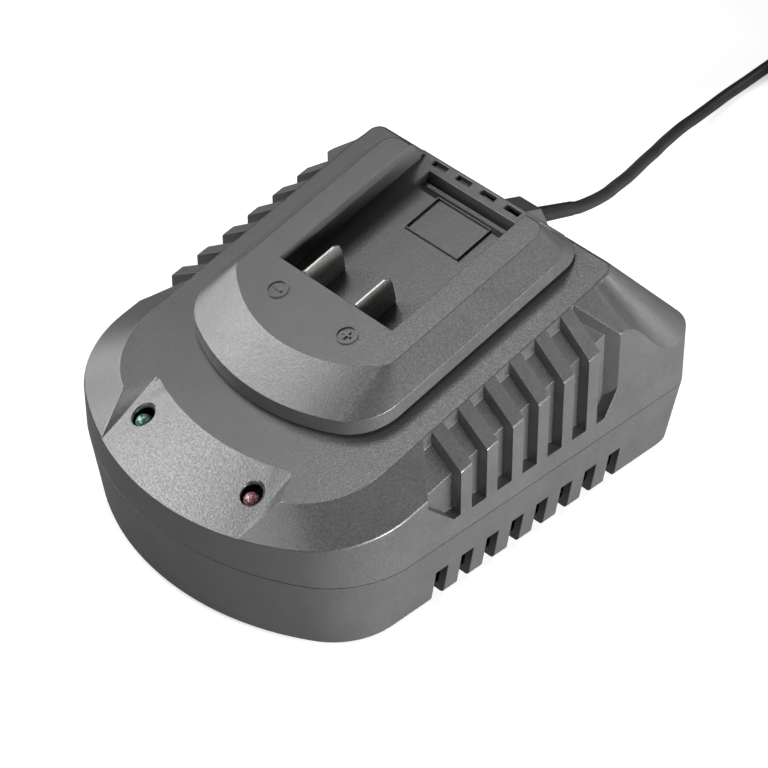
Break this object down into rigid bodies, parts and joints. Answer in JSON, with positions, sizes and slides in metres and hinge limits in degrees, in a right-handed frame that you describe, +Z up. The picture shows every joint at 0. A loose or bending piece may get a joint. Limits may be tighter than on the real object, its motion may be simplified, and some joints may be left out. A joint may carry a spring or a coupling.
{
  "type": "battery charger",
  "caption": "Mains charger for slide-on tool batteries: sloping dock with two rails, contact blades and latch pit, ribbed sides, indicator lamps at the nose and a mains lead.",
  "frame": {"origin": "on the ground, under the middle of the housing's length and width", "axes": "+Z up, -Y towards the nose with the indicator lamps, +Y towards the mains lead, X across"},
  "size_m": [0.1355, 0.3988, 0.0892],
  "materials": {
    "housing_plastic": "spark-eroded dark grey moulded plastic",
    "dock_plastic": "spark-eroded dark grey moulded plastic",
    "contact_metal": "bright nickel-plated blade",
    "black_plastic": "moulded",
    "green_lens": "diffuse tinted lens",
    "red_lens": "diffuse tinted lens",
    "board": "solder-resist lacquer",
    "fuse_glass": "glass tube with metal caps",
    "brass": "satin",
    "yellow_plastic": "tape-wrapped",
    "copper": "enamelled winding",
    "can_sleeve": "shrink sleeve",
    "heat_sink": "extruded",
    "ferrite": "sintered ferrite",
    "connector_plastic": "moulded",
    "cord_rubber": "matt jacket",
    "screw_steel": "zinc-plated",
    "wire_brown": "insulation",
    "wire_blue": "insulation",
    "wire_black": "insulation",
    "wire_red": "insulation",
    "wire_grey": "insulation",
    "foot_rubber": "matt",
    "tie_strap": "woven hook-and-loop strap",
    "plug_plastic": "moulded",
    "pin_brass": "nickel-plated brass"
  },
  "bodies": {
    "root": {"lower_housing": "housing_plastic", "upper_housing": "housing_plastic", "battery_dock": "dock_plastic", "minus_blade": "contact_metal", "plus_blade": "contact_metal", "terminal_block": "black_plastic", "green_lamp": "green_lens", "red_lamp": "red_lens", "lamp_board": "board", "main_board": "board", "mains_fuse": "fuse_glass", "fuse_clips": "brass", "film_capacitor": "yellow_plastic", "line_choke": "copper", "bridge_rectifier": "black_plastic", "bulk_capacitor": "can_sleeve", "switching_transistor": "black_plastic", "primary_heat_sink": "heat_sink", "transformer_core": "ferrite", "transformer_winding": "yellow_plastic", "output_rectifier": "black_plastic", "secondary_heat_sink": "heat_sink", "output_capacitors": "can_sleeve", "control_chip": "black_plastic", "mains_connector": "connector_plastic", "battery_connector": "connector_plastic", "cord_relief": "cord_rubber", "cord_clamp": "black_plastic", "clamp_screws": "screw_steel", "inner_jacket": "cord_rubber", "live_wire": "wire_brown", "neutral_wire": "wire_blue", "minus_wire": "wire_black", "plus_wire": "wire_red", "lamp_wires": "wire_grey", "housing_screws": "screw_steel", "dock_screws": "screw_steel", "board_screws": "screw_steel", "lamp_board_screws": "screw_steel", "rubber_feet": "foot_rubber", "mains_cord": "cord_rubber", "cord_coil": "cord_rubber", "cord_tail": "cord_rubber", "cord_tie": "tie_strap", "plug_body": "plug_plastic", "plug_pins": "pin_brass"}
  },
  "joints": []
}
